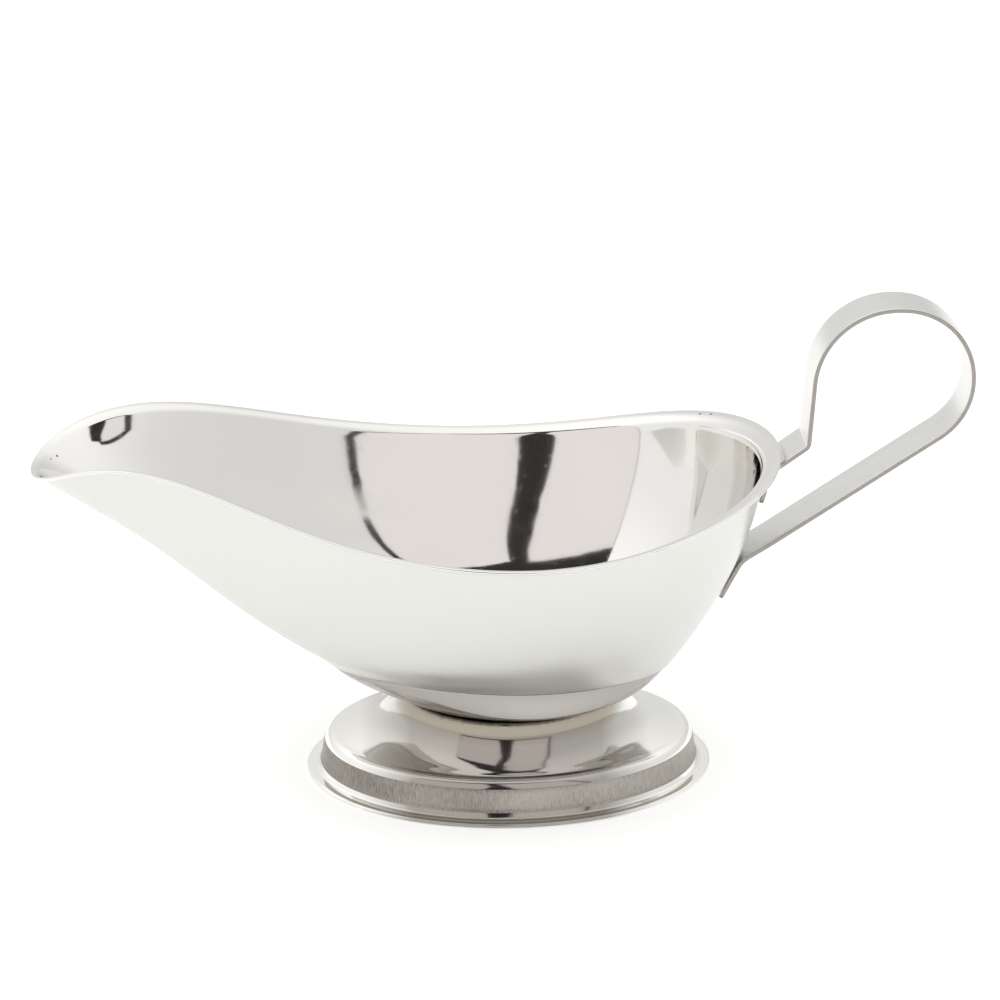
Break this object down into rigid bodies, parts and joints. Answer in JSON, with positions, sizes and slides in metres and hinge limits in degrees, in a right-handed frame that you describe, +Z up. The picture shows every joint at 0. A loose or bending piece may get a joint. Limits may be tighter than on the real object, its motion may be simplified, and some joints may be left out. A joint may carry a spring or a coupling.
{
  "type": "gravy boat",
  "caption": "Stainless steel gravy boat: an oval bowl with a long pouring spout on a pressed oval foot, with a bent strap handle.",
  "frame": {"origin": "in the plane that the boat stands on, under the middle of the whole boat with its handle", "axes": "+X from the spout to the handle, +Z up, +Y across the bowl, to the left of someone looking along +X"},
  "size_m": [0.2154, 0.09, 0.1142],
  "materials": {
    "bowl_steel": "polished stainless steel with fine wear scratches",
    "foot_steel": "polished stainless steel with a brushed band round the edge",
    "handle_steel": "satin stainless steel strap"
  },
  "bodies": {
    "root": {"bowl": "bowl_steel", "foot": "foot_steel", "handle": "handle_steel"}
  },
  "joints": []
}
